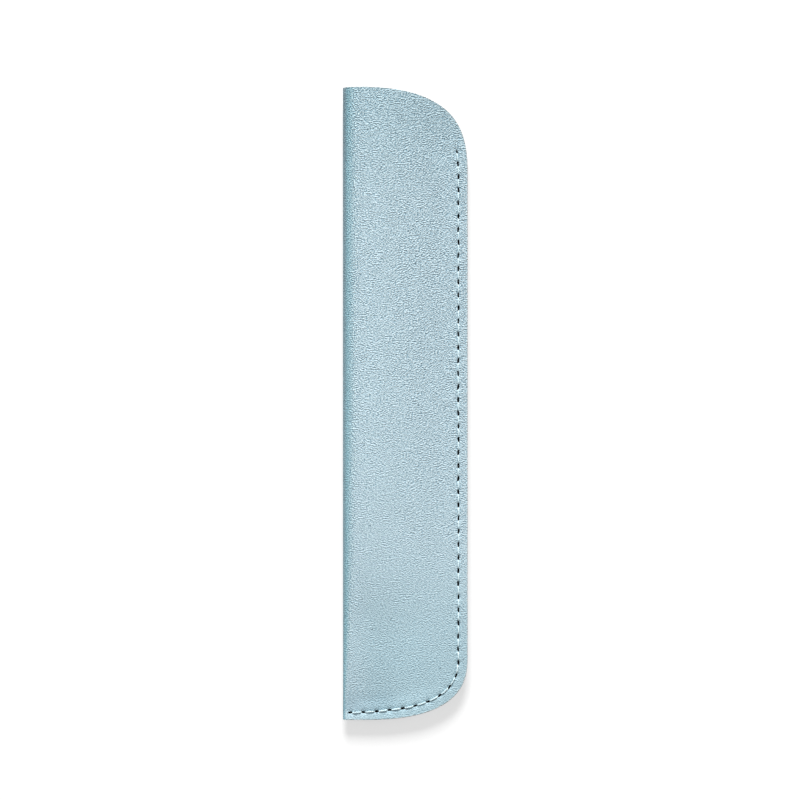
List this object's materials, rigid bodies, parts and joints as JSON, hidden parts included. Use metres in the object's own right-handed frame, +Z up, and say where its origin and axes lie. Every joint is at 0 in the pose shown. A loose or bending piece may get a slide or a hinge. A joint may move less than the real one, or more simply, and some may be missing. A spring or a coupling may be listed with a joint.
{
  "type": "pen sleeve",
  "caption": "Slim one-pen sleeve of coated leather, folded along one side and lock-stitched across the closed end and up the other side, with an open rounded mouth.",
  "frame": {"origin": "centre of the sleeve's outline, on the plane that its back lies on", "axes": "+X from the fold to the sewn edge, +Y along the sleeve from the closed end to the mouth, +Z up through the front"},
  "size_m": [0.032, 0.162, 0.0115],
  "materials": {
    "leather": "powder blue coated leather with a fine embossed grain, satin",
    "lining": "matt brushed microfibre backing",
    "tape": "matt tissue tape coated with adhesive on both faces",
    "thread": "twisted polyester sewing thread, slight sheen"
  },
  "bodies": {
    "root": {"leather_skin": "leather", "lining": "lining", "seam_tape": "tape", "needle_thread": "thread", "bobbin_thread": "thread"}
  },
  "joints": []
}
